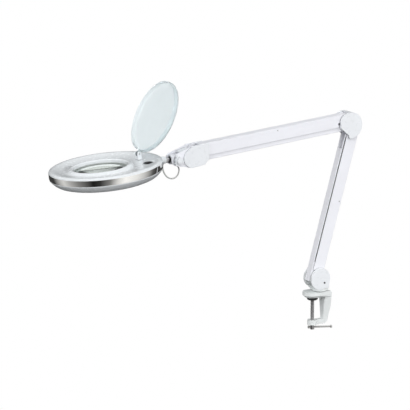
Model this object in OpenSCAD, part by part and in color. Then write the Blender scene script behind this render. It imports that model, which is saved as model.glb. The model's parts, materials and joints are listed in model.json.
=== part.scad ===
// Clamp-on magnifying lamp with a two-link balanced arm.
// Frame: origin on the underside of the clamp's upper jaw, below the swivel axis.
// +Z is up, the arm lies in the XZ plane and the lamp head is towards -X.

/* [Lamp head] */
// Outside diameter of the lamp head
head_d = 237; // [230:1:240]
// Diameter of the magnifying lens
lens_d = 127; // [120:1:130]
// Focal length of the lens, which sets how far its faces bulge
lens_focal = 333; // [250:1:500]
// How far the lens sits off the head's centre, towards the free end
lens_offset = 12; // [8:1:14]
// Tilt of the head, neck side up
head_tilt = 6.5; // [0:0.5:15]
// Height of the chrome band
band_h = 12.5; // [10:0.5:14]
// Total depth of the head
head_h = 34; // [32:1:38]
// Number of light-emitting diodes in the ring
led_count = 48; // [12:4:60]

/* [Lens cover] */
// Diameter of the hinged cover
lid_d = 156; // [150:1:160]
// Height of the hinge axis above the head's crest
hinge_z = 8.6; // [8:0.2:10]
// Angle of the open cover above the head's plane, towards the arm
lid_open = 58; // [40:0.5:70]

/* [Arms] */
// Pivot-to-pivot length of the lower arm
lower_len = 338; // [250:1:400]
// Pivot-to-pivot length of the upper arm
upper_len = 367; // [300:1:420]
// Lean of the lower arm from the vertical
lower_lean = 15.5; // [10:0.5:20]
// Fall of the upper arm from the elbow to the head
upper_fall = 6.1; // [0:0.1:12]
// Outside width of the outer channels
outer_w = 24; // [23:0.5:24.2]
// Outside width of the inner channels
inner_w = 19; // [17:0.5:19.5]
// Sheet thickness of the channels
sheet = 1.5; // [1:0.1:1.6]

/* [Clamp] */
// Width of the clamp's opening with the screw let down
jaw_gap = 52; // [45:1:60]
// Thickness of the upper jaw
jaw_t = 12.5; // [10:0.5:14]
// Diameter of the clamp screw
screw_d = 8; // [7:0.5:9]
// Diameter of the pressure pad
pad_d = 24; // [18:1:24]

/* [Hidden] */
$fn = 96;

// Clearances
run_fit = 0.05;
face_gap = 0.1;
side_gap = 0.6;

// Clamp
jaw_half_w = 20;
jaw_flat_w = 14;
jaw_edge_z = 5;
jaw_tail_w = 13;
spine_in = 6.4;
spine_out = 24;
spine_foot = 18;
spine_w_top = 23;
spine_w_low = 11;
jaw_low_t = 10.5;
jaw_bottom = -jaw_gap - jaw_low_t;
screw_x = -17.6;
screw_r = screw_d / 2;
boss_r = 10.7;
pad_top = -2.2;
pad_t = 4.4;
spigot_r = 3;
spigot_h = 3;
screw_head_r = 4.6;
screw_head_top = jaw_bottom - 1;
screw_head_h = 10;
bar_r = 2;
bar_len = 54;
bar_slide = 17.5;
bar_turn = -20;
bar_z = screw_head_top - screw_head_h / 2;

// Swivel and base
swivel_r = 6;
bush_r = 8;
bush_flange_r = 11;
bush_flange_t = 1;
bush_floor = 2;
foot_r = 17;
foot_t = 7;
foot_z = jaw_t + bush_flange_t + face_gap;
fork_in = outer_w / 2 + side_gap;
plate_t = 2.4;
fork_out = fork_in + plate_t;
cover_in = fork_out + face_gap;
cover_t = 2.5;
cover_out = cover_in + cover_t;
base_c = [-6.9, 42.2];
base_r = 24;
base_slot_z = 26;

// Arm pivots in the XZ plane
pin_r = 3;
lower_out = [-9.5, 48];
lower_g = [-14, -6];
lower_in = lower_out + lower_g;
lower_dir = [sin(lower_lean), cos(lower_lean)];
elbow_lo = lower_out + lower_len * lower_dir;
elbow_li = elbow_lo + lower_g;
elbow_c = elbow_lo + [-16.2, 3.6];
elbow_r = 29;
upper_dir = [-cos(upper_fall), -sin(upper_fall)];
elbow_uo = elbow_c + [-9.8, 15];
upper_g = [-4, -19.2];
elbow_ui = elbow_uo + upper_g;
head_uo = elbow_uo + upper_len * upper_dir;
head_ui = head_uo + upper_g;

// Channel sections: z runs from the outer web towards the inner channel
outer_web = -10;
outer_depth = 26.5;
inner_web = 8;
inner_depth = 22;
strip_out = 7;
strip_in = -7;
tongue_out = 9;
tongue_in = 7;

// Cord inlet, springs and their anchor bar, seen along the arm
grommet_x = 46;
grommet_r = 4;
anchor_at = [170, -5];
anchor_r = 1.5;
spring_r = 3.4;
spring_y = 4;
spring_lead = 20;
hook_t = 1.4;

// Head bracket
tilt_c = head_uo + [-46.9, -18];
tilt_r = 12.7;
bracket_c = head_uo + [-11.6, -16.5];
bracket_r = 20.2;
barrel_r = 10;
barrel_half = fork_in - 0.3;
bolt_r = 3;
bolt_front = 27;
bolt_rear = 24;
knob_r = 5.6;
knob_reach = 11.5;
knob_h = 11;

// Neck
stem_r = 4.5;
socket_r = 10;
socket_end = -10;
bush_t = 2.4;
collar_near = -21;
collar_far = -44;
collar_r = 7.2;
bush_out = 7;
ring_r = 6;
lug_dir = [7, -14];

// Head frame
head_r = head_d / 2;
head_c = [tilt_c[0] - 158.4, tilt_c[1] + 1.9];
crest_drop = 4;
crest_r = head_r - 6.5;
shell_t = 2.2;
band_t = 2.3;
wall_r = head_r - band_t - face_gap;
band_low = -crest_drop - band_h;
dish_z = -5;
opening_r = lens_d / 2 - 6.5;
lens_r = lens_d / 2;
lens_z = -12.1;
lens_edge = 3;
lens_face_r = 2 * 0.52 * lens_focal;
lens_steps = 16;
lens_ring_in = lens_r - 4.5;
holder_in = lens_r + 0.2;
holder_out = lens_r + 2.6;
floor_z = -head_h;
light_r = 84;
board_z = -26.6;
switch_at = [74, -50];
switch_r = 8.6;
switch_seat = -3.45;
hinge_x = 76.6;
hinge_r = 4.5;
hinge_pin_r = 1.5;
hinge_gap = 4.2;
hinge_half = 7;
lid_r = lid_d / 2;
lid_reach = lid_r + 6;
lid_top = -10;
lid_rim = 2.5;
screw_spots = [[84, 26], [84, -26], [25, 86], [25, -86]];

// Neck lead: points of its route in the XZ plane
lead_r = 1.5;
lead_route = [
  [-384, 325.6], [-383.6, 319], [-382.2, 313], [-379.6, 307], [-375.8, 301.6], [-370.8, 297.4],
  [-365, 295], [-359, 294.6], [-353.4, 296.4], [-349, 300.4], [-346.4, 305.6], [-345.4, 311],
  [-346.2, 316.2], [-349, 320.6]
];

// ---------- Helpers ----------

// Places a plan shape standing in the XZ plane, from -half to +half along Y
module upright(half) {
  rotate([90, 0, 0]) linear_extrude(height = 2 * half, center = true) children();
}

// The same, on one side only: side is -1 for the front and +1 for the rear
module upright_side(side, from, to) {
  translate([0, side * (from + to) / 2, 0]) upright((to - from) / 2) children();
}

// Where the line from point p touches a circle: turn is +1 for the far side anticlockwise, -1 for the other.
// The circle is taken a little small, so that the line's end lies inside it.
function touch(c, r, p, turn) =
  let (d = p - c, q = r - 0.1, a = atan2(d[1], d[0]) + turn * acos(q / norm(d)))
    c + q * [cos(a), sin(a)];

// A round pin or bore along Y at a point of the XZ plane
module cross_pin(at, r, half) {
  translate([at[0], 0, at[1]]) rotate([90, 0, 0]) cylinder(r = r, h = 2 * half, center = true);
}

module ring(r_in, r_out, z0, z1) {
  difference() {
    translate([0, 0, z0]) cylinder(r = r_out, h = z1 - z0);
    translate([0, 0, z0 - 1]) cylinder(r = r_in, h = z1 - z0 + 2);
  }
}

module on_arm(at, dir) {
  translate([at[0], 0, at[1]]) rotate([0, -atan2(dir[1], dir[0]), 0]) children();
}

module in_head() {
  translate([head_c[0], 0, head_c[1]]) rotate([0, -head_tilt, 0]) children();
}

module at_lens() {
  in_head() translate([-lens_offset, 0, 0]) children();
}

module at_hinge() {
  in_head() translate([hinge_x, 0, hinge_z]) rotate([0, -lid_open, 0]) children();
}

module on_neck() {
  translate([tilt_c[0], 0, tilt_c[1]]) children();
}

// A cylinder along X on the neck's axis, from x0 to x1
module neck_round(x0, x1, r0, r1) {
  on_neck() translate([x0, 0, 0]) rotate([0, 90, 0]) cylinder(r1 = r0, r2 = r1, h = x1 - x0);
}

// ---------- Clamp ----------

module clamp_profile() {
  polygon([
    [-20, 0], [-20, jaw_t], [spine_out - 3, jaw_t], [spine_out, jaw_t - 3], [spine_out, -22],
    [spine_foot, jaw_bottom + 6], [spine_foot - 6, jaw_bottom], [screw_x, jaw_bottom],
    [screw_x, -jaw_gap], [spine_in - 2, -jaw_gap], [spine_in, -jaw_gap + 2], [spine_in, -2], [spine_in - 2, 0]
  ]);
}

module clamp_frame() {
  color("whitesmoke") difference() {
    union() {
      intersection() {
        upright(jaw_half_w) clamp_profile();
        rotate([90, 0, 90]) linear_extrude(height = 100, center = true) polygon([
          [-spine_w_low / 2, jaw_bottom - 1], [spine_w_low / 2, jaw_bottom - 1],
          [spine_w_low / 2, -jaw_gap], [spine_w_top / 2, -6], [jaw_flat_w, 0], [jaw_half_w, jaw_edge_z],
          [jaw_half_w, jaw_t], [-jaw_half_w, jaw_t], [-jaw_half_w, jaw_edge_z], [-jaw_flat_w, 0],
          [-spine_w_top / 2, -6], [-spine_w_low / 2, -jaw_gap]
        ]);
        // Seen from above, the jaw narrows from its round nose to the spine
        translate([0, 0, -100]) linear_extrude(height = 200) polygon([
          [-30, -25], [-6, -25], [-6, -jaw_half_w], [spine_out, -jaw_tail_w], [spine_out, jaw_tail_w],
          [-6, jaw_half_w], [-6, 25], [-30, 25]
        ]);
      }
      translate([-20, 0, 0]) cylinder(r1 = jaw_flat_w, r2 = jaw_half_w, h = jaw_edge_z);
      translate([-20, 0, jaw_edge_z]) cylinder(r = jaw_half_w, h = jaw_t - jaw_edge_z);
      translate([screw_x, 0, jaw_bottom]) cylinder(r = boss_r, h = jaw_low_t);
    }
    translate([0, 0, bush_floor]) cylinder(r = bush_r + 0.02, h = jaw_t);
    translate([screw_x, 0, jaw_bottom - 1]) cylinder(r = screw_r + run_fit, h = jaw_low_t + 2);
  }
}

module swivel_bush() {
  color("dimgray") difference() {
    union() {
      translate([0, 0, bush_floor + 0.05]) cylinder(r = bush_r, h = jaw_t - bush_floor);
      translate([0, 0, jaw_t + 0.02]) cylinder(r = bush_flange_r, h = bush_flange_t - 0.02);
    }
    translate([0, 0, bush_floor - 1]) cylinder(r = swivel_r, h = jaw_t + bush_flange_t + 2);
  }
}

module pressure_pad() {
  color("black") translate([screw_x, 0, pad_top - pad_t]) difference() {
    union() {
      cylinder(r1 = pad_d / 2 - 2, r2 = pad_d / 2, h = 1.5);
      translate([0, 0, 1.5]) cylinder(r = pad_d / 2, h = pad_t - 1.5);
    }
    translate([0, 0, -1]) cylinder(r = spigot_r + run_fit, h = spigot_h + 1.2);
  }
}

module clamp_screw() {
  color("black") translate([screw_x, 0, 0]) difference() {
    union() {
      translate([0, 0, screw_head_top - 1])
        cylinder(r = screw_r, h = pad_top - pad_t - 0.4 - screw_head_top + 1);
      translate([0, 0, pad_top - pad_t - 1]) cylinder(r = spigot_r, h = spigot_h + 0.8);
      translate([0, 0, screw_head_top - screw_head_h]) cylinder(r = screw_head_r, h = screw_head_h);
    }
    translate([0, 0, bar_z]) rotate([0, 90, bar_turn]) cylinder(r = bar_r + run_fit, h = 20, center = true);
  }
}

module tommy_bar() {
  color("silver") translate([screw_x, 0, bar_z]) rotate([0, 90, bar_turn]) translate([0, 0, bar_slide]) {
    cylinder(r = bar_r, h = bar_len - 4, center = true);
    for (end = [-1, 1])
      translate([0, 0, end * (bar_len / 2 - 2)]) cylinder(r = bar_r + 1.2, h = 4, center = true);
  }
}

// ---------- Base bracket ----------

module base_outline(low, r) {
  translate(base_c) circle(r = r);
  polygon([
    [-foot_r + 3, low], [foot_r - 3, low],
    base_c + [r * cos(10), -4], base_c - [r * cos(30), 12]
  ]);
}

module base_fork() {
  color("whitesmoke") difference() {
    union() {
      translate([0, 0, foot_z]) cylinder(r = foot_r, h = foot_t);
      intersection() {
        upright(fork_out) base_outline(foot_z + 1, base_r);
        translate([0, 0, foot_z + 50]) cube([100, 100, 100], center = true);
      }
    }
    translate([-50, -fork_in, base_slot_z]) cube([100, 2 * fork_in, 80]);
    translate([0, 0, foot_z - 1]) cylinder(r = swivel_r, h = 40);
    for (at = [lower_out, lower_in]) cross_pin(at, pin_r + 0.02, 30);
  }
}

module swivel_pin() {
  color("silver") {
    translate([0, 0, bush_floor + 0.4]) cylinder(r = swivel_r - run_fit, h = base_slot_z - bush_floor);
    translate([0, 0, base_slot_z + 0.05]) cylinder(r = swivel_r + 3, h = 2.5);
  }
}

module base_pins() {
  color("silver") for (at = [lower_out, lower_in]) cross_pin(at, pin_r, fork_out);
}

module base_cover(side) {
  color("white") difference() {
    upright_side(side, cover_in, cover_out) base_outline(foot_z + foot_t + 0.2, base_r);
    translate([0, 0, foot_z - 1]) cylinder(r = foot_r + 0.2, h = foot_t + 1.2);
    if (side < 0) cross_pin([2.6, 32.8], 2.1, 30);
  }
}

module base_cover_front() { base_cover(-1); }

module base_cover_rear() { base_cover(1); }

module base_set_screw() {
  color("dimgray") translate([2.6, -cover_in - 0.05, 32.8]) rotate([90, 0, 0]) difference() {
    cylinder(r = 2, h = cover_t + 0.4);
    translate([0, 0, 1.2]) cylinder(r = 1, h = 3, $fn = 6);
  }
}

// ---------- Arm channels ----------

// Side view of an outer flange: full depth from x0 to x1, then a narrow strip and a round end at each pivot
module outer_side(len, x0, x1) {
  translate([x0, outer_web]) square([x1 - x0, outer_depth]);
  translate([0, outer_web]) square([len, strip_out - outer_web]);
  for (x = [0, len]) translate([x, 0]) circle(r = tongue_out);
}

module outer_channel(at, dir, len, x0, x1, web0, web1) {
  on_arm(at, dir) difference() {
    union() {
      for (side = [-1, 1])
        upright_side(side, outer_w / 2 - sheet, outer_w / 2) outer_side(len, x0, x1);
      translate([web0, -outer_w / 2, outer_web]) cube([web1 - web0, outer_w, sheet]);
    }
    for (x = [0, len]) cross_pin([x, 0], pin_r + run_fit, 30);
  }
}

module inner_side(len, x0, x1, end0, end1) {
  translate([x0, inner_web - inner_depth]) square([x1 - x0, inner_depth]);
  translate([end0, strip_in]) square([end1 - end0, inner_web - strip_in]);
  for (x = [0, len]) translate([x, 0]) circle(r = tongue_in);
}

module inner_channel(at, dir, len, x0, x1, end0, end1, web0, web1) {
  on_arm(at, dir) difference() {
    union() {
      for (side = [-1, 1])
        upright_side(side, inner_w / 2 - sheet, inner_w / 2) inner_side(len, x0, x1, end0, end1);
      translate([web0, -inner_w / 2, inner_web - sheet]) cube([web1 - web0, inner_w, sheet]);
    }
    for (x = [0, len]) cross_pin([x, 0], pin_r + run_fit, 30);
  }
}

module lower_channel_outer() {
  color("whitesmoke") difference() {
    outer_channel(lower_out, lower_dir, lower_len, 12, lower_len - 15, 0, lower_len - 2);
    on_arm(lower_out, lower_dir) {
      translate([grommet_x, 0, outer_web - 5]) cylinder(r = grommet_r, h = 10);
      cross_pin(anchor_at, anchor_r + 0.02, 30);
    }
  }
}

module cord_grommet() {
  color("black") on_arm(lower_out, lower_dir) translate([grommet_x, 0, 0]) difference() {
    union() {
      translate([0, 0, outer_web - 2]) cylinder(r = grommet_r + 2, h = 1.98);
      translate([0, 0, outer_web - 2]) cylinder(r = grommet_r - 0.02, h = 5);
      translate([0, 0, outer_web + sheet + 0.02]) cylinder(r = grommet_r + 1.5, h = 1.5);
    }
    translate([0, 0, outer_web - 5]) cylinder(r = 3, h = 20);
  }
}

// An offset in the XZ plane, seen in an arm's own axes
function arm_offset(g, dir) = [g * dir, g * [-dir[1], dir[0]]];

module spring_anchor(at, dir) {
  color("silver") on_arm(at, dir) cross_pin(anchor_at, anchor_r, outer_w / 2);
}

module spring_eye(x, r_in) {
  translate([x, 0, 0]) rotate([90, 0, 0]) difference() {
    cylinder(r = r_in + hook_t, h = hook_t, center = true);
    cylinder(r = r_in, h = 4, center = true);
  }
}

// Two close-wound tension springs, side by side, from the bracket's inner pin to the channel's anchor bar
module springs(at, dir, pin_at) {
  run = anchor_at - pin_at;
  len = norm(run);
  pin_eye = pin_r + 0.3;
  bar_eye = anchor_r + 0.2;
  color("gray") on_arm(at, dir) translate([pin_at[0], 0, pin_at[1]]) rotate([0, -atan2(run[1], run[0]), 0])
    for (side = [-1, 1]) translate([0, side * spring_y, 0]) {
      translate([spring_lead, 0, 0]) rotate([0, 90, 0]) difference() {
        cylinder(r = spring_r, h = len - 1.6 * spring_lead);
        translate([0, 0, -1]) cylinder(r = spring_r - 1.2, h = len);
      }
      spring_eye(0, pin_eye);
      spring_eye(len, bar_eye);
      for (z = [-1, 1]) {
        translate([pin_eye + 0.3, -hook_t / 2, z * 2.7 - 0.7]) cube([spring_lead, hook_t, hook_t]);
      }
      translate([len - bar_eye - 12, -hook_t / 2, 0.9]) cube([12, hook_t, hook_t]);
    }
}

module lower_spring_anchor() { spring_anchor(lower_out, lower_dir); }

module lower_springs() { springs(lower_out, lower_dir, arm_offset(lower_g, lower_dir)); }

module lower_channel_inner() {
  color("white")
    inner_channel(lower_in, lower_dir, lower_len, 15, lower_len - 11, -5, lower_len, -5, lower_len - 45);
}

module upper_channel_outer() {
  color("whitesmoke") difference() {
    outer_channel(elbow_uo, upper_dir, upper_len, 20, upper_len - 15, -4, upper_len - 10);
    on_arm(elbow_uo, upper_dir) cross_pin(anchor_at, anchor_r + 0.02, 30);
  }
}

module upper_spring_anchor() { spring_anchor(elbow_uo, upper_dir); }

module upper_springs() { springs(elbow_uo, upper_dir, arm_offset(upper_g, upper_dir)); }

module upper_channel_inner() {
  color("white")
    inner_channel(elbow_ui, upper_dir, upper_len, 15, upper_len - 20, 0, upper_len, 14, upper_len - 14);
}

// ---------- Elbow ----------

module elbow_outline(r) {
  translate(elbow_c) intersection() {
    circle(r = r);
    polygon([[-24.6, 40], [-24.6, -5], [-4, -21.5], [0, -40], [40, -40], [40, 40]]);
  }
}

// The rim runs round the outside of the elbow, between the two arms' webs
module elbow_rim(r_in, r_out) {
  difference() {
    translate(elbow_c) circle(r = r_out);
    translate(elbow_c) circle(r = r_in);
    translate(elbow_c) polygon([
      [0, 0], [60, 60 * tan(8)], [60, -60], [-60, -60], [-60, 60], [-60 * tan(3), 60]
    ]);
  }
}

module elbow_fork() {
  color("whitesmoke") difference() {
    union() {
      for (side = [-1, 1]) upright_side(side, fork_in, fork_out) elbow_outline(elbow_r - 2.6);
      upright(fork_out) elbow_rim(elbow_r - 4.5, elbow_r - 2.6);
    }
    for (at = [elbow_lo, elbow_li, elbow_uo, elbow_ui]) cross_pin(at, pin_r + 0.02, 30);
  }
}

module elbow_pins() {
  color("silver") for (at = [elbow_lo, elbow_li, elbow_uo, elbow_ui]) cross_pin(at, pin_r, fork_out);
}

module elbow_cover(side) {
  color("white") {
    upright_side(side, cover_in, cover_out) elbow_outline(elbow_r);
    upright_side(side, 0.05, cover_in) elbow_rim(elbow_r - 2.4, elbow_r);
  }
}

module elbow_cover_front() { elbow_cover(-1); }

module elbow_cover_rear() { elbow_cover(1); }

// ---------- Head bracket and tilt joint ----------

module bracket_outline() {
  top = head_uo + [-12, 8.6];
  low = bracket_c + (bracket_r - 0.1) * [cos(-96), sin(-96)];
  translate(tilt_c) circle(r = tilt_r);
  translate(bracket_c) circle(r = bracket_r);
  polygon([
    touch(tilt_c, tilt_r, top, 1), top, head_uo + [8, 11], head_uo + [8, -22],
    bracket_c + bracket_r * [0.6, -0.6], low, touch(tilt_c, tilt_r, low, -1)
  ]);
}

module head_bracket() {
  color("whitesmoke") difference() {
    union() {
      for (side = [-1, 1]) upright_side(side, fork_in, fork_out) bracket_outline();
      // Floor that joins the two sides below the insert
      upright(fork_out) polygon([
        tilt_c + [23, -17.2], tilt_c + [31, -18.6], tilt_c + [31, -16.4], tilt_c + [23, -15]
      ]);
    }
    cross_pin(tilt_c, bolt_r + run_fit, 40);
    for (at = [head_uo, head_ui]) cross_pin(at, pin_r + 0.02, 30);
  }
}

// Filler bar that closes the top of the bracket beside the tilt joint
module bracket_insert() {
  color("white") difference() {
    upright(fork_in - 2.5) polygon([
      tilt_c + [10, 15.2], tilt_c + [32, 22], tilt_c + [33, 18.6], tilt_c + [11, 11.8]
    ]);
    cross_pin(tilt_c, 17, 30);
  }
}

module head_end_pins() {
  color("silver") for (at = [head_uo, head_ui]) cross_pin(at, pin_r, fork_out);
}

module end_cover(side) {
  top = head_uo + [-12, 9.2];
  low = head_uo + [18, -32];
  color("white") {
    upright_side(side, cover_in, cover_out) translate(bracket_c) circle(r = bracket_r);
    upright_side(side, cover_in, cover_out) polygon([
      touch(bracket_c, bracket_r, top, 1), top, head_uo + [28, 13.4],
      head_uo + [28, -20], low, touch(bracket_c, bracket_r, low, -1)
    ]);
  }
}

module head_end_cover_front() { end_cover(-1); }

module head_end_cover_rear() { end_cover(1); }

module tilt_bolt() {
  color("silver") on_neck() rotate([90, 0, 0]) translate([0, 0, -bolt_rear])
    cylinder(r = bolt_r, h = bolt_front + bolt_rear);
}

module tilt_washers() {
  color("silver") on_neck() for (side = [-1, 1])
    translate([0, side * (fork_out + 0.85), 0]) rotate([90, 0, 0]) difference() {
      cylinder(r = 8.5, h = 1.4, center = true);
      cylinder(r = bolt_r + run_fit, h = 3, center = true);
    }
}

module tilt_nut() {
  color("silver") on_neck() translate([0, fork_out + 1.7, 0]) rotate([-90, 0, 0]) difference() {
    cylinder(r = 5.8, h = 5, $fn = 6);
    translate([0, 0, -1]) cylinder(r = bolt_r + 0.02, h = 8);
  }
}

module tilt_knob() {
  color("white") on_neck() translate([0, -fork_out - 1.7, 0]) rotate([90, 0, 0]) difference() {
    union() {
      cylinder(r = knob_r + 2, h = knob_h - 2);
      cylinder(r = knob_r, h = knob_h + 1);
      for (turn = [-130, -10, 110]) rotate([0, 0, turn]) {
        translate([0, -3, 1]) cube([knob_reach - 3, 6, knob_h - 4]);
        translate([knob_reach - 3, 0, 1]) cylinder(r = 3, h = knob_h - 4);
      }
    }
    translate([0, 0, -1]) cylinder(r = bolt_r + run_fit, h = bolt_front - fork_out - 1.7 + 1.6);
  }
}

module knuckle() {
  color("whitesmoke") difference() {
    union() {
      cross_pin(tilt_c, barrel_r, barrel_half);
      neck_round(socket_end, 0, socket_r, socket_r);
      // Cable lug under the barrel
      on_neck() rotate([0, 90 - atan2(lug_dir[1], lug_dir[0]), 0]) cylinder(r = 3, h = norm(lug_dir));
    }
    cross_pin(tilt_c, bolt_r + run_fit, 40);
    neck_round(socket_end - 1, -bolt_r - 1.2, stem_r + run_fit, stem_r + run_fit);
  }
}

module neck_bush() {
  color("black") difference() {
    neck_round(socket_end - bush_t, socket_end - 0.05, bush_out - 0.4, bush_out);
    neck_round(socket_end - bush_t - 1, socket_end + 1, stem_r + run_fit, stem_r + run_fit);
  }
}

module neck_stem() {
  color("silver") neck_round(collar_far, -bolt_r - 1.5, stem_r, stem_r);
}

// Collar ring pinned to the stem, which carries the head's weight on the bush
module neck_ring() {
  color("silver") difference() {
    neck_round(collar_near + 0.1, collar_near + 4, ring_r, ring_r);
    neck_round(collar_near - 1, collar_near + 5, stem_r + 0.02, stem_r + 0.02);
  }
}

// Sweeps a round tube along a route in the XZ plane
module swept_tube(route, r, sides) {
  n = len(route);
  tangents = [for (i = [0 : n - 1]) route[min(i + 1, n - 1)] - route[max(i - 1, 0)]];
  points = [
    for (i = [0 : n - 1], k = [0 : sides - 1])
      let (t = tangents[i] / norm(tangents[i]), a = 360 * k / sides)
        [route[i][0] - t[1] * r * cos(a), r * sin(a), route[i][1] + t[0] * r * cos(a)]
  ];
  walls = [
    for (i = [0 : n - 2], k = [0 : sides - 1])
      let (next = (k + 1) % sides)
        [i * sides + k, (i + 1) * sides + k, (i + 1) * sides + next, i * sides + next]
  ];
  first = [for (k = [0 : sides - 1]) k];
  last = [for (k = [sides - 1 : -1 : 0]) (n - 1) * sides + k];
  polyhedron(points = points, faces = concat(walls, [first], [last]));
}

module neck_lead() {
  color("gainsboro") swept_tube(lead_route, lead_r, 8);
}

module lead_grommet() {
  color("white") translate([lead_route[0][0], 0, lead_route[0][1]]) difference() {
    cylinder(r = 3, h = 3);
    translate([0, 0, -1]) cylinder(r = lead_r + 0.1, h = 3);
  }
}

// ---------- Lamp head ----------

module top_profile() {
  polygon([
    [0, dish_z], [60, dish_z], [75, dish_z + 0.4], [crest_r - 20, -3], [crest_r - 9, -1.2],
    [crest_r - 4, -0.2], [crest_r, 0], [head_r - 3.4, -0.5], [head_r - 1, -1.8], [head_r, -crest_drop],
    [wall_r, -crest_drop], [wall_r, band_low], [wall_r - 2, band_low], [wall_r - 2, -crest_drop],
    [crest_r - 4, -shell_t - 0.4], [crest_r - 9, -1.2 - shell_t], [crest_r - 20, -3 - shell_t],
    [75, dish_z + 0.4 - shell_t], [60, dish_z - shell_t], [0, dish_z - shell_t]
  ]);
}

// Raised lip round the lens opening
module lip_profile() {
  polygon([
    [opening_r, dish_z - shell_t], [opening_r, -2.4], [opening_r + 0.8, -1], [opening_r + 2.2, -0.25],
    [opening_r + 4.5, 0], [opening_r + 7, -0.6], [opening_r + 9.5, -2.2], [opening_r + 13.2, dish_z - 0.9],
    [opening_r + 9, dish_z - shell_t]
  ]);
}

module top_shell() {
  color("white") difference() {
    union() {
      in_head() {
        difference() {
          union() {
            rotate_extrude() top_profile();
            translate([switch_at[0], switch_at[1], -9]) cylinder(r = switch_r + 2.2, h = 9 + switch_seat);
          }
          translate([-lens_offset, 0, -20]) cylinder(r = opening_r, h = 30);
          translate([switch_at[0], switch_at[1], -20]) cylinder(r = switch_r + 0.05, h = 30);
          translate([switch_at[0], switch_at[1], switch_seat]) cylinder(r = switch_r + 1.5, h = 9);
        }
        translate([-lens_offset, 0, 0]) rotate_extrude() lip_profile();
        for (at = screw_spots) translate([at[0], at[1], -29]) cylinder(r = 4, h = 25);
      }
      // Neck collar, outside the shell's wall
      difference() {
        neck_round(collar_far, collar_near, collar_r + 1.8, collar_r);
        in_head() translate([0, 0, -40]) cylinder(r = wall_r - 1, h = 40 - crest_drop);
      }
    }
    neck_round(collar_far - 30, collar_near + 1, stem_r + 0.02, stem_r + 0.02);
    in_head() for (at = screw_spots) translate([at[0], at[1], -30]) cylinder(r = 1.6, h = 12);
    translate([lead_route[0][0], 0, lead_route[0][1] - 5]) cylinder(r = 3.05, h = 8);
  }
}

module chrome_band() {
  color("silver") difference() {
    in_head() rotate_extrude() polygon([
      [head_r - band_t, band_low + 0.05], [head_r - 0.3, band_low + 0.05], [head_r, band_low + 1.5],
      [head_r, -crest_drop - 1.5], [head_r - 0.3, -crest_drop - 0.05], [head_r - band_t, -crest_drop - 0.05]
    ]);
    neck_round(-80, collar_near, collar_r + 3.1, collar_r + 2);
  }
}

module bottom_profile() {
  polygon([
    [wall_r + 0.2, band_low - 0.05], [head_r - 0.4, band_low - 0.05], [head_r - 0.8, band_low - 2],
    [head_r - 4, -22.5], [head_r - 9.5, -28], [head_r - 15, -31.6], [head_r - 20, -33.4],
    [head_r - 23, floor_z], [0, floor_z], [0, floor_z + shell_t],
    [head_r - 23.5, floor_z + shell_t], [head_r - 16.5, -29.6], [head_r - 11.5, -26.4],
    [head_r - 6.5, -21.4], [head_r - 4.6, band_low - 2], [head_r - 4.6, band_low - 0.05]
  ]);
}

module bottom_shell() {
  color("white") difference() {
    in_head() difference() {
      rotate_extrude() bottom_profile();
      translate([-lens_offset, 0, floor_z - 1]) cylinder(r = light_r, h = 10);
      for (at = screw_spots) {
        translate([at[0], at[1], floor_z - 1]) cylinder(r = 1.8, h = 10);
        translate([at[0], at[1], floor_z - 1]) cylinder(r = 3.3, h = 2);
      }
    }
    neck_round(-80, collar_near, collar_r + 3.1, collar_r + 2);
  }
}

module head_screws() {
  color("silver") in_head() for (at = screw_spots) translate([at[0], at[1], 0]) {
    translate([0, 0, floor_z + 0.1]) cylinder(r = 3, h = 0.85);
    translate([0, 0, floor_z + 0.1]) cylinder(r = 1.5, h = 14);
  }
}

// How far a lens face has dropped at a radius, and half the lens's thickness there
function lens_sag(r) = lens_face_r - sqrt(lens_face_r * lens_face_r - r * r);
function lens_half(r) = lens_edge / 2 + lens_sag(lens_r) - lens_sag(r);

module lens_holder() {
  seat = lens_z + lens_half(opening_r + 0.2) + face_gap;
  color("white") at_lens() {
    ring(holder_in, holder_out, floor_z + 2, seat + 0.05);
    ring(opening_r + 0.2, holder_out, seat, seat + 2);
  }
}

module lens() {
  radii = [for (i = [0 : lens_steps]) lens_r * i / lens_steps];
  color("lightcyan", 0.5) at_lens() translate([0, 0, lens_z]) rotate_extrude() polygon(concat(
    [for (r = radii) [r, lens_half(r)]],
    [for (i = [lens_steps : -1 : 0]) [radii[i], -lens_half(radii[i])]]
  ));
}

module lens_ring() {
  top = lens_z - lens_half(lens_ring_in) - face_gap;
  color("white") at_lens() ring(lens_ring_in, holder_in - 0.05, top - 3, top);
}

module led_board() {
  color("seagreen") at_lens() ring(holder_out + 0.5, light_r - 2, board_z, board_z + 1.6);
}

module leds() {
  color("lightyellow") at_lens() for (k = [0 : led_count - 1])
    rotate([0, 0, 360 * k / led_count])
      translate([(holder_out + light_r) / 2, 0, board_z - 0.5]) cube([2.8, 3.5, 0.9], center = true);
}

module diffuser() {
  color("white", 0.6) at_lens() ring(holder_out + 0.1, light_r - 0.1, floor_z, floor_z + 1.9);
}

module driver_board() {
  color("seagreen") in_head() {
    translate([76, -14, -17.6]) cube([22, 34, 1.6]);
    translate([79, -10, -16.02]) cube([9, 9, 5]);
    translate([91, 8, -16.02]) cylinder(r = 3.5, h = 7);
  }
}

module switch_body() {
  color("black") in_head() translate([switch_at[0], switch_at[1], 0]) difference() {
    union() {
      translate([0, 0, -18]) cylinder(r = switch_r, h = 15);
      translate([0, 0, switch_seat + 0.02]) cylinder(r = switch_r + 1.4, h = 1.3);
    }
    translate([0, 0, -9]) cylinder(r = 7, h = 12);
    translate([0, 0, -6.5]) rotate([90, 0, 0]) cylinder(r = 1.05, h = 16, center = true);
  }
}

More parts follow.
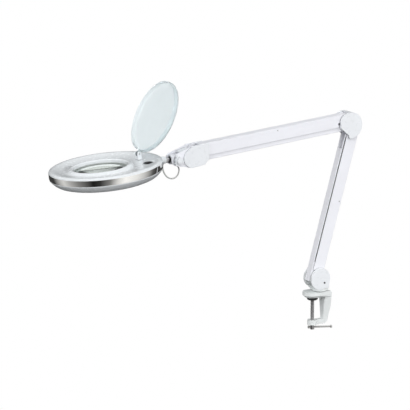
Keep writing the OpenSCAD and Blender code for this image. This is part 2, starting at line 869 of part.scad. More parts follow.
// Round rocker on its own trunnions, flat at rest between its two switched positions
module switch_rocker() {
  color("black") in_head() translate([switch_at[0], switch_at[1], 0]) {
    translate([0, 0, -5.6]) cylinder(r = 6.3, h = 4);
    translate([0, 0, -6.5]) rotate([90, 0, 0]) cylinder(r = 1, h = 15.4, center = true);
    translate([-2, -2.5, -7.4]) cube([4, 5, 3]);
  }
}

module cover_hinge_base() {
  color("white") in_head() translate([hinge_x, 0, 0]) difference() {
    union() {
      translate([-hinge_r, -hinge_half, dish_z + 1.05])
        cube([2 * hinge_r, 2 * hinge_half, hinge_z - dish_z - 1.05]);
      translate([0, 0, hinge_z]) rotate([90, 0, 0]) cylinder(r = hinge_r, h = 2 * hinge_half, center = true);
    }
    translate([-10, -hinge_gap, hinge_z - hinge_r - 0.5]) cube([20, 2 * hinge_gap, 20]);
    translate([0, 0, hinge_z]) rotate([90, 0, 0]) cylinder(r = hinge_pin_r + 0.02, h = 20, center = true);
  }
}

module cover_hinge_pin() {
  color("silver") in_head() translate([hinge_x, 0, hinge_z]) rotate([90, 0, 0])
    cylinder(r = hinge_pin_r, h = 2 * hinge_half + 0.6, center = true);
}

module lid_profile() {
  polygon([
    [0, lid_top], [lid_r - 10, lid_top], [lid_r - 5, lid_top + 0.5], [lid_r - 1.8, lid_top + 1.8],
    [lid_r - 0.4, lid_top + 3.6], [lid_r, lid_top + 5.6], [lid_r - 0.9, lid_rim], [lid_r - 2.7, lid_rim],
    [lid_r - 1.8, lid_top + 5.6], [lid_r - 2.4, lid_top + 4], [lid_r - 5.4, lid_top + 2.5],
    [lid_r - 10, lid_top + 2], [0, lid_top + 2]
  ]);
}

module lens_cover() {
  color("lightcyan") at_hinge() difference() {
    union() {
      translate([lid_reach, 0, 0]) rotate_extrude() lid_profile();
      rotate([90, 0, 0]) cylinder(r = hinge_r - 0.2, h = 2 * hinge_gap - 0.6, center = true);
      translate([0, 0.3 - hinge_gap, -2.4]) cube([7.4, 2 * hinge_gap - 0.6, 4.4]);
    }
    rotate([90, 0, 0]) cylinder(r = hinge_pin_r + run_fit, h = 30, center = true);
  }
}

clamp_frame();
swivel_bush();
pressure_pad();
clamp_screw();
tommy_bar();
base_fork();
swivel_pin();
base_pins();
base_cover_front();
base_cover_rear();
base_set_screw();
lower_channel_outer();
cord_grommet();
lower_spring_anchor();
lower_springs();
lower_channel_inner();
elbow_fork();
elbow_pins();
elbow_cover_front();
elbow_cover_rear();
upper_channel_outer();
upper_spring_anchor();
upper_springs();
upper_channel_inner();
head_bracket();
bracket_insert();
head_end_pins();
head_end_cover_front();
head_end_cover_rear();
tilt_bolt();
tilt_washers();
tilt_nut();
tilt_knob();
knuckle();
neck_bush();
neck_stem();
neck_ring();
neck_lead();
lead_grommet();
top_shell();
chrome_band();
bottom_shell();
lens_holder();
lens();
lens_ring();
led_board();
leds();
diffuser();
driver_board();
head_screws();
switch_body();
switch_rocker();
cover_hinge_base();
cover_hinge_pin();
lens_cover();
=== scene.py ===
"""Looks of the clamp-on magnifying lamp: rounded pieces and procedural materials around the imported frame."""

import json
import math

import bmesh
import bpy
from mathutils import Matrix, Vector


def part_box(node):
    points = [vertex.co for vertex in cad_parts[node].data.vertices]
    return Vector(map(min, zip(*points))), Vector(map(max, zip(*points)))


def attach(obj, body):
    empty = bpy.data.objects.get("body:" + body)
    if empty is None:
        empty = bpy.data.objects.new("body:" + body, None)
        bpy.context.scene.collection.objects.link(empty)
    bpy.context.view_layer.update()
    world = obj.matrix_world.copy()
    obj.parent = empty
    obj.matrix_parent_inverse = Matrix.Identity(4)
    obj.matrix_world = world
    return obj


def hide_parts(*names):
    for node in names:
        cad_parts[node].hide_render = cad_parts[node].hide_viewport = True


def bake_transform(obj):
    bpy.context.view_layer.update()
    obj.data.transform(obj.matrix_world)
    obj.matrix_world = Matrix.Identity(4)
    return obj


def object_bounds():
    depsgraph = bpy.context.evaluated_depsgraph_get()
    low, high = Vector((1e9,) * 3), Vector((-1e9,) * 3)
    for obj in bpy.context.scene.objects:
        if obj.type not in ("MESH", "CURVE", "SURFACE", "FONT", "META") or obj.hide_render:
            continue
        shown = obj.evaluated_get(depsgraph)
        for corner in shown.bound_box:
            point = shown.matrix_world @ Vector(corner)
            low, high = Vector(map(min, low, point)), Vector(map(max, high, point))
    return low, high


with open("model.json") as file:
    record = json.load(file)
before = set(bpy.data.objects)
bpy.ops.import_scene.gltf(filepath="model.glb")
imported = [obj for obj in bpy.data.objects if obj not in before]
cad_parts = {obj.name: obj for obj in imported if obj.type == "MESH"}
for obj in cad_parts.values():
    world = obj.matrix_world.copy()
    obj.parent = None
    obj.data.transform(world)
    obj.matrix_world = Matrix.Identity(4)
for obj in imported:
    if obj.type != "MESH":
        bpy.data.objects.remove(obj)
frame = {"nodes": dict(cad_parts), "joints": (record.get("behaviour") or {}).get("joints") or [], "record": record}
cad_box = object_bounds()

MM = 0.001
NODES = frame["nodes"]
JOINTS = {j["name"]: j for j in frame["joints"]}
BODY_OF = {n: body for body, nodes in frame["record"]["behaviour"]["bodies"].items() for n in nodes}
SLOT_OF = {s["node"]: s["material_slot"] for s in frame["record"]["subparts"]}


# ---------- Camera ----------

CAMERA_AZIMUTH = -27.5
CAMERA_ELEVATION = 11.5
CAMERA_DISTANCE = 4.64
CAMERA_LENS = 185
CAMERA_TARGET = Vector((-0.2049, 0.1516, 0.1959))


def make_camera():
    a, e = math.radians(CAMERA_AZIMUTH), math.radians(CAMERA_ELEVATION)
    back = Vector((math.sin(a) * math.cos(e), -math.cos(a) * math.cos(e), math.sin(e)))
    data = bpy.data.cameras.new("camera")
    data.lens = CAMERA_LENS
    data.sensor_width = 36
    camera = bpy.data.objects.new("camera", data)
    bpy.context.scene.collection.objects.link(camera)
    camera.location = CAMERA_TARGET + back * CAMERA_DISTANCE
    camera.rotation_mode = "QUATERNION"
    camera.rotation_quaternion = (-back).to_track_quat("-Z", "Y")
    bpy.context.scene.camera = camera


# ---------- Small helpers ----------

def joint_at(name):
    return Vector(JOINTS[name]["pos_m"])


def middle(node):
    low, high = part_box(node)
    return (low + high) / 2


def new_piece(name, bm, material, node=None, body=None, smooth=38, weighted=True):
    """Turns a bmesh into a piece that rides on a body and stands for a CAD node, where one is named."""
    mesh = bpy.data.meshes.new(name)
    bm.to_mesh(mesh)
    bm.free()
    for polygon in mesh.polygons:
        polygon.use_smooth = True
    mesh.set_sharp_from_angle(angle=math.radians(smooth))
    mesh.materials.append(material)
    piece = bpy.data.objects.new(name, mesh)
    bpy.context.scene.collection.objects.link(piece)
    if weighted:
        normals = piece.modifiers.new("normals", "WEIGHTED_NORMAL")
        normals.keep_sharp = True
    if node:
        body = BODY_OF[node]
        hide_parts(node)
    if body:
        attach(piece, body)
    return piece


WELD = 0.003 * MM
FLAT_WITHIN = math.radians(0.6)


def clean_copy(node):
    """The CAD node's mesh, welded and with its flat faces joined up."""
    bm = bmesh.new()
    bm.from_mesh(NODES[node].data)
    bmesh.ops.remove_doubles(bm, verts=bm.verts, dist=WELD)
    bmesh.ops.dissolve_degenerate(bm, edges=bm.edges, dist=WELD)
    bmesh.ops.dissolve_limit(bm, angle_limit=FLAT_WITHIN, verts=bm.verts, edges=bm.edges)
    return bm


def face_width(face, length):
    return face.calc_area() / length


def bevel(bm, edges, offset, segments):
    if edges:
        bmesh.ops.bevel(
            bm, geom=edges, offset=offset, offset_type="OFFSET", segments=segments,
            profile=0.5, affect="EDGES", clamp_overlap=True,
        )


def round_bends(bm, offset, segments=4, wide=5 * MM, long=30 * MM):
    """Rounds the long edges between two wide faces, as where a sheet is bent or a casting is drafted."""
    found = []
    for edge in bm.edges:
        if len(edge.link_faces) == 2 and edge.calc_length() > long:
            if edge.calc_face_angle(0) > math.radians(50):
                if min(face_width(f, edge.calc_length()) for f in edge.link_faces) > wide:
                    found.append(edge)
    bevel(bm, found, offset, segments)


def round_edges(bm, offset, segments=2, sharp=35):
    limit = math.radians(sharp)
    found = [e for e in bm.edges if len(e.link_faces) == 2 and e.calc_face_angle(0) > limit]
    bevel(bm, found, offset, segments)


def rounded(node, material, offset, segments=2, bend=0, smooth=38, weighted=True, name=None):
    """A piece with the CAD node's shape, its edges rounded."""
    bm = clean_copy(node)
    if bend:
        round_bends(bm, bend)
    if offset:
        round_edges(bm, offset, segments)
    return new_piece(name or node + "_finished", bm, material, node, smooth=smooth, weighted=weighted)


def tube(points, radius, sides=8):
    """A round tube through the points, as a bmesh with closed ends."""
    bm = bmesh.new()
    rings = []
    tangent = (points[1] - points[0]).normalized()
    side = tangent.orthogonal().normalized()
    for i, point in enumerate(points):
        after = points[min(i + 1, len(points) - 1)]
        before = points[max(i - 1, 0)]
        turned = (after - before).normalized()
        side = (side - turned * side.dot(turned)).normalized()
        other = turned.cross(side)
        ring = []
        for k in range(sides):
            a = 2 * math.pi * k / sides
            ring.append(bm.verts.new(point + radius * (math.cos(a) * side + math.sin(a) * other)))
        rings.append(ring)
    for low, high in zip(rings, rings[1:]):
        for k in range(sides):
            bm.faces.new((low[k], low[(k + 1) % sides], high[(k + 1) % sides], high[k]))
    bm.faces.new(rings[0][::-1])
    bm.faces.new(rings[-1])
    return bm


# ---------- Materials ----------

CLOUD_SCALE = 35
WEAR_SCALE = 140
GRAIN_HEIGHT = 0.1 * MM
COAT_ROUGHNESS = 0.12
# The share of open sky at which the painted crevice shade is full, and at which there is none
CREVICE_FULL_SHADE = 0.1
CREVICE_UNSHADED = 0.75


def linear(rgb):
    """An sRGB colour in 0 to 255 as linear RGBA."""
    return tuple(((c / 255 + 0.055) / 1.055) ** 2.4 if c > 10 else c / 3295 for c in rgb) + (1,)


def surface(
    name, rgb, rough, metallic=0.0, ior=1.5, coat=0.0, mottle=0.03, grain=900, bump=0.05,
    rough_spread=0.06, crevice_shade=0.0, reach=4, transmission=0.0, stretch=(1, 1, 1),
):
    """A procedural surface: slightly mottled colour, uneven roughness, fine bump, and painted shade that greys the
    crevices.

    Grain is the bump's fineness, and reach is how far in mm the painted crevice shade spreads around a crevice.
    """
    material = bpy.data.materials.new(name)
    material.use_nodes = True
    nodes, links = material.node_tree.nodes, material.node_tree.links
    shader = nodes["Principled BSDF"]
    shader.inputs["Metallic"].default_value = metallic
    shader.inputs["IOR"].default_value = ior
    shader.inputs["Coat Weight"].default_value = coat
    shader.inputs["Coat Roughness"].default_value = COAT_ROUGHNESS
    shader.inputs["Transmission Weight"].default_value = transmission

    place = nodes.new("ShaderNodeTexCoord")
    scaled = nodes.new("ShaderNodeMapping")
    scaled.inputs["Scale"].default_value = stretch
    links.new(place.outputs["Object"], scaled.inputs["Vector"])

    def noise(scale, detail):
        node = nodes.new("ShaderNodeTexNoise")
        node.inputs["Scale"].default_value = scale
        node.inputs["Detail"].default_value = detail
        links.new(scaled.outputs["Vector"], node.inputs["Vector"])
        return node.outputs["Fac"]

    def spread(value, low, high):
        node = nodes.new("ShaderNodeMapRange")
        node.inputs["From Min"].default_value = 0.3
        node.inputs["From Max"].default_value = 0.7
        node.inputs["To Min"].default_value = low
        node.inputs["To Max"].default_value = high
        links.new(value, node.inputs["Value"])
        return node.outputs["Result"]

    cloudy = noise(CLOUD_SCALE, 4)
    colour = nodes.new("ShaderNodeMix")
    colour.data_type = "RGBA"
    base = linear(rgb)
    colour.inputs["A"].default_value = tuple(c * (1 - mottle) for c in base[:3]) + (1,)
    colour.inputs["B"].default_value = tuple(min(1, c * (1 + mottle)) for c in base[:3]) + (1,)
    links.new(spread(cloudy, 0, 1), colour.inputs["Factor"])
    shown = colour.outputs["Result"]
    # Painted shade: ambient occlusion mixes a darker base colour into crevices and between parts, where shade
    # falls
    if crevice_shade:
        corner = nodes.new("ShaderNodeAmbientOcclusion")
        corner.inputs["Distance"].default_value = reach * MM
        corner.samples = 6
        depth = nodes.new("ShaderNodeMapRange")
        depth.inputs["From Min"].default_value = CREVICE_FULL_SHADE
        depth.inputs["From Max"].default_value = CREVICE_UNSHADED
        links.new(corner.outputs["AO"], depth.inputs["Value"])
        painted_shade = nodes.new("ShaderNodeMix")
        painted_shade.data_type = "RGBA"
        painted_shade.inputs["A"].default_value = tuple(c * (1 - crevice_shade) for c in base[:3]) + (1,)
        links.new(depth.outputs["Result"], painted_shade.inputs["Factor"])
        links.new(shown, painted_shade.inputs["B"])
        shown = painted_shade.outputs["Result"]
    links.new(shown, shader.inputs["Base Color"])

    uneven = spread(noise(WEAR_SCALE, 5), max(0.02, rough - rough_spread), rough + rough_spread)
    links.new(uneven, shader.inputs["Roughness"])

    relief = nodes.new("ShaderNodeBump")
    relief.inputs["Strength"].default_value = bump
    relief.inputs["Distance"].default_value = GRAIN_HEIGHT
    links.new(noise(grain, 3), relief.inputs["Height"])
    links.new(relief.outputs["Normal"], shader.inputs["Normal"])
    return material


def make_materials():
    # crevice_shade is how much painted shade greys each material in its crevices
    return {
        "white_cast": surface(
            "white_cast", (236, 240, 240), 0.36, coat=0.15, grain=700, bump=0.2, crevice_shade=0.4, reach=3,
        ),
        "white_cover": surface(
            "white_cover", (240, 243, 247), 0.3, coat=0.2, grain=1500, bump=0.06, mottle=0.015, crevice_shade=0.85,
        ),
        "white_coat": surface(
            "white_coat", (245, 246, 252), 0.34, coat=0.1, grain=1300, bump=0.14, mottle=0.015, crevice_shade=0.9,
        ),
        "black_nylon": surface("black_nylon", (28, 28, 29), 0.55, grain=1800, bump=0.1, mottle=0.15),
        "black_pad": surface("black_pad", (40, 40, 41), 0.6, grain=1600, bump=0.3, mottle=0.15),
        "black_screw": surface(
            "black_screw", (170, 169, 170), 0.3, metallic=1, grain=1600, bump=0.15, mottle=0.12,
            rough_spread=0.1,
        ),
        "bar_steel": surface(
            "bar_steel", (205, 204, 202), 0.3, metallic=1, grain=2500, bump=0.1, mottle=0.1,
            stretch=(0.2, 1, 1),
        ),
        "plated_steel": surface(
            "plated_steel", (190, 190, 192), 0.28, metallic=1, grain=2500, bump=0.08, mottle=0.06,
        ),
        "dark_screw": surface("dark_screw", (88, 88, 90), 0.4, metallic=1, grain=2500, bump=0.1, mottle=0.1),
        "spring_steel": surface("spring_steel", (128, 128, 130), 0.3, metallic=1, bump=0.05, mottle=0.08),
        "black_rubber": surface("black_rubber", (32, 32, 33), 0.75, grain=2200, bump=0.25, mottle=0.1),
        "lead_jacket": surface("lead_jacket", (200, 201, 199), 0.5, grain=2500, bump=0.1, mottle=0.04),
        "white_rubber": surface("white_rubber", (216, 217, 215), 0.6, grain=2200, bump=0.2),
        "head_plastic": surface(
            "head_plastic", (228, 232, 235), 0.24, coat=0.3, grain=1500, bump=0.03, mottle=0.01, crevice_shade=0.6,
        ),
        "holder_plastic": surface("holder_plastic", (196, 202, 200), 0.4, grain=1500, bump=0.1, crevice_shade=0.4),
        "chrome_trim": surface(
            "chrome_trim", (234, 234, 232), 0.06, metallic=1, grain=400, bump=0.01, mottle=0.02,
            rough_spread=0.03, stretch=(1, 1, 8),
        ),
        "lens_glass": surface(
            "lens_glass", (246, 254, 249), 0.03, ior=1.52, transmission=1, grain=60, bump=0.002,
            mottle=0.005, rough_spread=0.01,
        ),
        "cover_frosted": surface(
            "cover_frosted", (243, 250, 252), 0.5, ior=1.15, transmission=0.85, grain=1800, bump=0.12,
            mottle=0.02, rough_spread=0.08,
        ),
        "diffuser_frosted": surface(
            "diffuser_frosted", (238, 240, 238), 0.5, transmission=0.3, grain=1600, bump=0.15, mottle=0.02,
        ),
        "board": surface("board", (36, 92, 58), 0.4, grain=1200, bump=0.2, mottle=0.25),
        "led": surface("led", (240, 226, 130), 0.25, grain=900, bump=0.05, mottle=0.1),
        "switch_black": surface(
            "switch_black", (22, 22, 23), 0.18, coat=0.4, grain=1600, bump=0.04, mottle=0.1,
        ),
    }


# ---------- Pieces ----------

def make_clamp(paint):
    rounded("clamp_frame", paint["white_cast"], 0.9 * MM, segments=3, bend=2.4 * MM, name="clamp_casting")
    rounded("swivel_bush", paint["black_nylon"], 0.25 * MM)
    rounded("pressure_pad", paint["black_pad"], 0.5 * MM)
    rounded("tommy_bar", paint["bar_steel"], 0.7 * MM, segments=3)
    make_screw(paint["black_screw"])


SCREW_PITCH = 2 * MM
THREAD_CREST = 4 * MM
THREAD_DEPTH = 0.62 * MM
# How far the thread starts above the screw's foot and stops below its tip
HEAD_LENGTH = 10.4 * MM
SPIGOT_LENGTH = 3.4 * MM
THREAD_SIDES = 36
ROWS_PER_PITCH = 8


def make_screw(material):
    """The clamp screw: the CAD's head and spigot on a thinner core, with a helical thread wound on it."""
    bm = clean_copy("clamp_screw")
    low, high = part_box("clamp_screw")
    axis = joint_at("screw_turn")
    start = low.z + HEAD_LENGTH
    end = high.z - SPIGOT_LENGTH
    # The CAD's plain rod shrinks to the thread's root
    for vert in bm.verts:
        flat = Vector((vert.co.x - axis.x, vert.co.y - axis.y, 0))
        if vert.co.z > start - 0.5 * MM and flat.length > THREAD_CREST - 0.1 * MM:
            vert.co -= flat * (THREAD_DEPTH * 0.9 / flat.length)
    rows = int((end - start) / SCREW_PITCH * ROWS_PER_PITCH)
    # The thread grows from its foot and dies away at its tip
    grid = []
    for i in range(rows + 1):
        z = start + (end - start) * i / rows
        fade = min(1, 6 * i / rows, 12 * (rows - i) / rows)
        ring = []
        for k in range(THREAD_SIDES):
            phase = (z / SCREW_PITCH - k / THREAD_SIDES) % 1
            tooth = max(0, min(1, 2 - abs(phase - 0.5) * 5))
            r = THREAD_CREST - THREAD_DEPTH * (1 - tooth * min(1, fade + 0.3))
            a = 2 * math.pi * k / THREAD_SIDES
            ring.append(bm.verts.new((axis.x + r * math.cos(a), axis.y + r * math.sin(a), z)))
        grid.append(ring)
    for lower, upper in zip(grid, grid[1:]):
        for k in range(THREAD_SIDES):
            n = (k + 1) % THREAD_SIDES
            bm.faces.new((lower[k], lower[n], upper[n], upper[k]))
    bm.faces.new(grid[0][::-1])
    bm.faces.new(grid[-1])
    new_piece("clamp_screw_threaded", bm, material, "clamp_screw", smooth=50)


def make_base(paint):
    rounded("base_fork", paint["white_cast"], 0.7 * MM, segments=3)
    rounded("base_cover_front", paint["white_cover"], 0.9 * MM, segments=3)
    rounded("base_cover_rear", paint["white_cover"], 0.9 * MM, segments=3)
    rounded("base_set_screw", paint["dark_screw"], 0.15 * MM)
    rounded("swivel_pin", paint["plated_steel"], 0.4 * MM)
    rounded("base_pins", paint["plated_steel"], 0.3 * MM)


def make_arms(paint):
    for node in ("lower_channel_outer", "lower_channel_inner", "upper_channel_outer", "upper_channel_inner"):
        rounded(node, paint["white_coat"], 0.28 * MM, bend=1.3 * MM)
    rounded("cord_grommet", paint["black_rubber"], 0.4 * MM)
    # Black glides along the lower channels' seams, put there as a painted shadow line
    make_shadow_line_glides(paint["black_nylon"])
    for node in ("lower_spring_anchor", "upper_spring_anchor"):
        rounded(node, paint["plated_steel"], 0.2 * MM)
    steel = paint["spring_steel"]
    make_springs("lower", "base_bracket", "lower_outer", joint_at("lower_parallel"), False, steel)
    make_springs("upper", "upper_inner", "upper_outer", joint_at("upper_parallel"), True, steel)


# The outer channel's lip, measured from its pivot line, and the black glide in the gap beside it, a dark strip put
# there as a painted shadow line along the seam
LIP = 16.5 * MM
SHADOW_GLIDE_HIDDEN = 4 * MM
SHADOW_GLIDE_SHOWS = 1.3 * MM
SHADOW_GLIDE_INNER_Y = 9.75 * MM
SHADOW_GLIDE_OUTER_Y = 10.6 * MM
SHADOW_GLIDE_FROM_BASE = 30 * MM
SHADOW_GLIDE_FROM_ELBOW = 27 * MM
BOX_FACES = ((0, 1, 3, 2), (4, 6, 7, 5), (0, 4, 5, 1), (2, 3, 7, 6), (0, 2, 6, 4), (1, 5, 7, 3))


def make_shadow_line_glides(material):
    """Two thin black nylon glides in the gaps between the lower channels, just showing past the outer lips: dark
    strips that stand in for the shadow line along each seam.
    """
    near, far, inner = joint_at("shoulder"), joint_at("elbow_level"), joint_at("lower_parallel")
    arm = Vector((far.x - near.x, 0, far.z - near.z))
    along = arm.normalized()
    across = Vector((-along.z, 0, along.x))
    if across.dot(inner - near) < 0:
        across = -across
    for side, label in ((-1, "front"), (1, "rear")):
        bm = bmesh.new()
        corners = []
        for x in (SHADOW_GLIDE_FROM_BASE, arm.length - SHADOW_GLIDE_FROM_ELBOW):
            for z in (LIP - SHADOW_GLIDE_HIDDEN, LIP + SHADOW_GLIDE_SHOWS):
                for y in (SHADOW_GLIDE_INNER_Y, SHADOW_GLIDE_OUTER_Y):
                    corners.append(bm.verts.new(Vector((near.x, side * y, near.z)) + x * along + z * across))
        for face in BOX_FACES:
            bm.faces.new([corners[k] for k in face])
        bmesh.ops.recalc_face_normals(bm, faces=bm.faces)
        round_edges(bm, 0.15 * MM)
        new_piece("lower_shadow_line_glide_" + label, bm, material, body=BODY_OF["lower_channel_outer"])


WIRE_R = 0.6 * MM
COIL_R = 2.8 * MM
SPRING_Y = 4 * MM
PIN_EYE_R = 4.1 * MM
BAR_EYE_R = 2.4 * MM
PIN_HOOK_LENGTH = 20 * MM
BAR_HOOK_LENGTH = 12 * MM
TURN_PITCH = 2.15 * WIRE_R
HOOK_POINTS = 15
TURN_POINTS = 10


def spring_path(length):
    """Centreline of a hooked tension spring along X, from the pin at 0 to the bar at length."""
    points = []
    for k in range(HOOK_POINTS):
        a = math.radians(-150 + 300 * k / (HOOK_POINTS - 1))
        points.append(Vector((-PIN_EYE_R * math.cos(a), 0, PIN_EYE_R * math.sin(a))))
    start = PIN_HOOK_LENGTH
    end = length - BAR_HOOK_LENGTH
    turns = int((end - start) / TURN_PITCH)
    for k in range(turns * TURN_POINTS + 1):
        a = 2 * math.pi * k / TURN_POINTS
        x = start + (end - start) * k / (turns * TURN_POINTS)
        points.append(Vector((x, COIL_R * math.sin(a), COIL_R * math.cos(a))))
    for k in range(HOOK_POINTS):
        a = math.radians(150 - 300 * k / (HOOK_POINTS - 1))
        points.append(Vector((length + BAR_EYE_R * math.cos(a), 0, BAR_EYE_R * math.sin(a))))
    return points


def make_springs(arm, near, far, pin, halved, material):
    """Two coil springs from the inner channel's pin to the outer channel's bar.

    Unless halved, each one is a single piece that rides on no body; halved, it is made in two halves that each
    ride on one of the bodies near and far.
    """
    bar = middle(arm + "_spring_anchor")
    run = Vector((bar.x - pin.x, 0, bar.z - pin.z))
    along = run.normalized()
    across = Vector((-along.z, 0, along.x))
    start = Vector((pin.x, 0, pin.z))
    for side, label in ((-1, "front"), (1, "rear")):
        offset = start + Vector((0, side * SPRING_Y, 0))
        points = [offset + p.x * along + Vector((0, p.y, 0)) + p.z * across for p in spring_path(run.length)]
        cut = len(points) // 2
        parts = (("_pin_half", near, points[:cut + 1]), ("_bar_half", far, points[cut:]))
        for end, body, part in parts if halved else (("", None, points),):
            bm = tube(part, WIRE_R, sides=6)
            name = arm + "_spring_" + label + end
            piece = new_piece(name, bm, material, body=body, smooth=80, weighted=False)
            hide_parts(arm + "_springs")
            if not halved:
                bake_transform(piece)


def make_elbow(paint):
    rounded("elbow_fork", paint["white_coat"], 0.4 * MM)
    rounded("elbow_pins", paint["plated_steel"], 0.3 * MM)
    rounded("elbow_cover_front", paint["white_cover"], 1.0 * MM, segments=3)
    rounded("elbow_cover_rear", paint["white_cover"], 1.0 * MM, segments=3)


def make_head_end(paint):
    rounded("head_bracket", paint["white_coat"], 0.5 * MM, segments=2)
    rounded("bracket_insert", paint["white_cover"], 0.8 * MM, segments=3)
    rounded("head_end_pins", paint["plated_steel"], 0.3 * MM)
    rounded("head_end_cover_front", paint["white_cover"], 0.9 * MM, segments=3)
    rounded("head_end_cover_rear", paint["white_cover"], 0.9 * MM, segments=3)
    rounded("tilt_bolt", paint["plated_steel"], 0.3 * MM)
    rounded("tilt_washers", paint["plated_steel"], 0.2 * MM)
    rounded("tilt_nut", paint["plated_steel"], 0.3 * MM)
    rounded("tilt_knob", paint["white_cover"], 0.6 * MM, segments=3)
    rounded("knuckle", paint["white_coat"], 0.5 * MM)
    rounded("neck_bush", paint["black_nylon"], 0.3 * MM)
    rounded("neck_stem", paint["plated_steel"], 0.3 * MM)
    rounded("neck_ring", paint["plated_steel"], 0.3 * MM)


def make_head(paint):
    rounded("top_shell", paint["head_plastic"], 0, smooth=28, weighted=False)
    rounded("bottom_shell", paint["head_plastic"], 0, smooth=28, weighted=False)
    rounded("chrome_band", paint["chrome_trim"], 0, smooth=50, weighted=False)
    rounded("lens", paint["lens_glass"], 0, smooth=28, weighted=False)
    rounded("lens_holder", paint["holder_plastic"], 0.3 * MM)
    rounded("lens_ring", paint["holder_plastic"], 0.4 * MM)
    rounded("diffuser", paint["diffuser_frosted"], 0.3 * MM)
    rounded("head_screws", paint["plated_steel"], 0.3 * MM)
    rounded("lead_grommet", paint["white_rubber"], 0.3 * MM)
    rounded("switch_body", paint["switch_black"], 0.3 * MM)
    rounded("switch_rocker", paint["switch_black"], 0.5 * MM, segments=3)
    rounded("cover_hinge_base", paint["head_plastic"], 0.5 * MM, segments=3)
    rounded("cover_hinge_pin", paint["plated_steel"], 0.2 * MM)
    rounded("lens_cover", paint["cover_frosted"], 0.5 * MM, segments=2, smooth=35)
    for node in ("led_board", "leds", "driver_board"):
        for material_slot in NODES[node].material_slots:
            material_slot.material = paint[SLOT_OF[node]]


# ---------- Neck lead ----------

LEAD_R = 1.5 * MM
LEAD_ROUTE_MM = [
    (-384, 325.6), (-383.6, 319), (-382.2, 313), (-379.6, 307), (-375.8, 301.6),
    (-370.8, 297.4), (-365, 295), (-359, 294.6), (-353.4, 296.4), (-349, 300.4),
    (-346.4, 305.6), (-345.4, 311), (-346.2, 316.2), (-349, 320.6),
]


def smooth_route(points, steps):
    """A Catmull-Rom curve through the points."""
    ends = [2 * points[0] - points[1], *points, 2 * points[-1] - points[-2]]
    path = []
    for a, b, c, d in zip(ends, ends[1:], ends[2:], ends[3:]):
        for k in range(steps):
            t = k / steps
            path.append(0.5 * (2 * b + (c - a) * t + (2 * a - 5 * b + 4 * c - d) * t * t
                               + (3 * b - a - 3 * c + d) * t ** 3))
    path.append(points[-1])
    return path


def make_lead(paint):
    route = [Vector((x * MM, 0, z * MM)) for x, z in LEAD_ROUTE_MM]
    path = smooth_route(route, 5)
    piece = new_piece("neck_lead_jacket", tube(path, LEAD_R, 12), paint["lead_jacket"], weighted=False)
    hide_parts("neck_lead")
    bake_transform(piece)


# ---------- Studio ----------

FLOOR_HALF = 60
# The clamp hangs on a table edge, so the floor lies well below it, clear of the lowered head and screw
FLOOR_DROP = 0.45
FLOOR_BOUNCE = 0.22
# Brightness that polished surfaces see around the studio, by compass angle from +X in degrees
STUDIO_PANELS = [
    (0, 0.05), (62, 0.04), (114, 0.04), (142, 0.5), (150, 0.6), (166, 0.4), (187, 0.2), (210, 0.06),
    (219, 0.01), (234, 0.03), (254, 0.2), (270, 0.65), (285, 0.9), (310, 0.75), (330, 0.5),
    (344, 0.25), (354, 0.08),
]
PANEL_TINT = (1.0, 0.99, 0.975)
PANEL_LIGHT = 1.25
CEILING = (0.8, 0.81, 0.82, 1)
# Height of a reflected ray at which the panels give way to the ceiling, from first to last
CEILING_START = 0.25
CEILING_FULL = 0.6
# Soft light: its even part, how much more comes from the front, and the least there is behind
FRONT = (-0.35, -0.9, -0.36)
SIDE_LIGHT = 1.12
FRONT_LIGHT = 1.2
BACK_LIGHT = 0.45


def make_floor():
    """A plain pale floor: white to look at, less bright as bounced light, and open when seen from below."""
    bm = bmesh.new()
    bmesh.ops.create_grid(bm, x_segments=1, y_segments=1, size=FLOOR_HALF)
    mesh = bpy.data.meshes.new("floor")
    bm.to_mesh(mesh)
    bm.free()
    floor = bpy.data.objects.new("floor", mesh)
    floor.location = (0, 0, cad_box[0].z - FLOOR_DROP)
    floor.visible_glossy = False
    material = bpy.data.materials.new("floor_white")
    material.use_nodes = True
    nodes, links = material.node_tree.nodes, material.node_tree.links
    nodes.clear()
    matt = nodes.new("ShaderNodeBsdfDiffuse")
    matt.inputs["Color"].default_value = (FLOOR_BOUNCE, FLOOR_BOUNCE, FLOOR_BOUNCE, 1)
    white = nodes.new("ShaderNodeEmission")
    path = nodes.new("ShaderNodeLightPath")
    shown = nodes.new("ShaderNodeMixShader")
    seen = nodes.new("ShaderNodeMath")
    seen.operation = "MAXIMUM"
    links.new(path.outputs["Is Camera Ray"], seen.inputs[0])
    links.new(path.outputs["Is Transmission Ray"], seen.inputs[1])
    links.new(seen.outputs["Value"], shown.inputs["Fac"])
    links.new(matt.outputs["BSDF"], shown.inputs[1])
    links.new(white.outputs["Emission"], shown.inputs[2])
    clear = nodes.new("ShaderNodeBsdfTransparent")
    side = nodes.new("ShaderNodeNewGeometry")
    sided = nodes.new("ShaderNodeMixShader")
    links.new(side.outputs["Backfacing"], sided.inputs["Fac"])
    links.new(shown.outputs["Shader"], sided.inputs[1])
    links.new(clear.outputs["BSDF"], sided.inputs[2])
    output = nodes.new("ShaderNodeOutputMaterial")
    links.new(sided.outputs["Shader"], output.inputs["Surface"])
    mesh.materials.append(material)
    bpy.context.scene.collection.objects.link(floor)


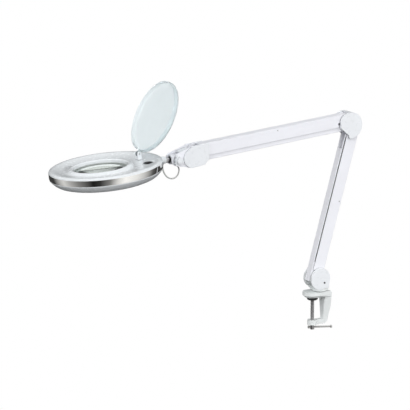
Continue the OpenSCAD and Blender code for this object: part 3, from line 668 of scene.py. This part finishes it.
def make_world():
    """Soft white light, a little stronger from the front, with pale and dark panels for reflections."""
    world = bpy.data.worlds.new("studio")
    bpy.context.scene.world = world
    world.use_nodes = True
    nodes, links = world.node_tree.nodes, world.node_tree.links
    soft = nodes["Background"]
    place = nodes.new("ShaderNodeTexCoord")

    facing = nodes.new("ShaderNodeVectorMath")
    facing.operation = "DOT_PRODUCT"
    facing.inputs[1].default_value = FRONT
    links.new(place.outputs["Generated"], facing.inputs[0])
    level = nodes.new("ShaderNodeMapRange")
    level.inputs["From Min"].default_value = -1
    level.inputs["To Min"].default_value = SIDE_LIGHT - FRONT_LIGHT
    level.inputs["To Max"].default_value = SIDE_LIGHT + FRONT_LIGHT
    links.new(facing.outputs["Value"], level.inputs["Value"])
    floor_level = nodes.new("ShaderNodeMath")
    floor_level.operation = "MAXIMUM"
    floor_level.inputs[1].default_value = BACK_LIGHT
    links.new(level.outputs["Result"], floor_level.inputs[0])
    lit = nodes.new("ShaderNodeMix")
    lit.inputs["B"].default_value = 1
    path = nodes.new("ShaderNodeLightPath")
    straight = nodes.new("ShaderNodeMath")
    straight.operation = "MAXIMUM"
    links.new(path.outputs["Is Camera Ray"], straight.inputs[0])
    links.new(path.outputs["Is Transmission Ray"], straight.inputs[1])
    links.new(straight.outputs["Value"], lit.inputs["Factor"])
    links.new(floor_level.outputs["Value"], lit.inputs["A"])
    links.new(lit.outputs["Result"], soft.inputs["Strength"])
    soft.inputs["Color"].default_value = (1, 1, 1, 1)

    split = nodes.new("ShaderNodeSeparateXYZ")
    links.new(place.outputs["Generated"], split.inputs["Vector"])
    angle = nodes.new("ShaderNodeMath")
    angle.operation = "ARCTAN2"
    links.new(split.outputs["Y"], angle.inputs[0])
    links.new(split.outputs["X"], angle.inputs[1])
    turn = nodes.new("ShaderNodeMath")
    turn.operation = "DIVIDE"
    turn.inputs[1].default_value = 2 * math.pi
    links.new(angle.outputs["Value"], turn.inputs[0])
    wrap = nodes.new("ShaderNodeMath")
    wrap.operation = "FRACT"
    links.new(turn.outputs["Value"], wrap.inputs[0])
    panels = nodes.new("ShaderNodeValToRGB")
    ramp = panels.color_ramp
    while len(ramp.elements) > 1:
        ramp.elements.remove(ramp.elements[-1])
    ramp.elements[0].position = 0
    for i, (degrees, value) in enumerate(STUDIO_PANELS):
        stop = ramp.elements[0] if i == 0 else ramp.elements.new(degrees / 360)
        stop.color = tuple(value * c for c in PANEL_TINT) + (1,)
    links.new(wrap.outputs["Value"], panels.inputs["Fac"])
    ceiling = nodes.new("ShaderNodeMapRange")
    ceiling.inputs["From Min"].default_value = CEILING_START
    ceiling.inputs["From Max"].default_value = CEILING_FULL
    links.new(split.outputs["Z"], ceiling.inputs["Value"])
    seen = nodes.new("ShaderNodeMix")
    seen.data_type = "RGBA"
    seen.inputs["B"].default_value = CEILING
    links.new(ceiling.outputs["Result"], seen.inputs["Factor"])
    links.new(panels.outputs["Color"], seen.inputs["A"])
    mirror = nodes.new("ShaderNodeBackground")
    mirror.inputs["Strength"].default_value = PANEL_LIGHT
    links.new(seen.outputs["Result"], mirror.inputs["Color"])

    chosen = nodes.new("ShaderNodeMixShader")
    links.new(path.outputs["Is Glossy Ray"], chosen.inputs["Fac"])
    links.new(soft.outputs["Background"], chosen.inputs[1])
    links.new(mirror.outputs["Background"], chosen.inputs[2])
    links.new(chosen.outputs["Shader"], nodes["World Output"].inputs["Surface"])


make_camera()
PAINT = make_materials()
make_lead(PAINT)
make_clamp(PAINT)
make_base(PAINT)
make_arms(PAINT)
make_elbow(PAINT)
make_head_end(PAINT)
make_head(PAINT)
make_floor()
make_world()
bpy.context.scene.view_settings.view_transform = "Standard"
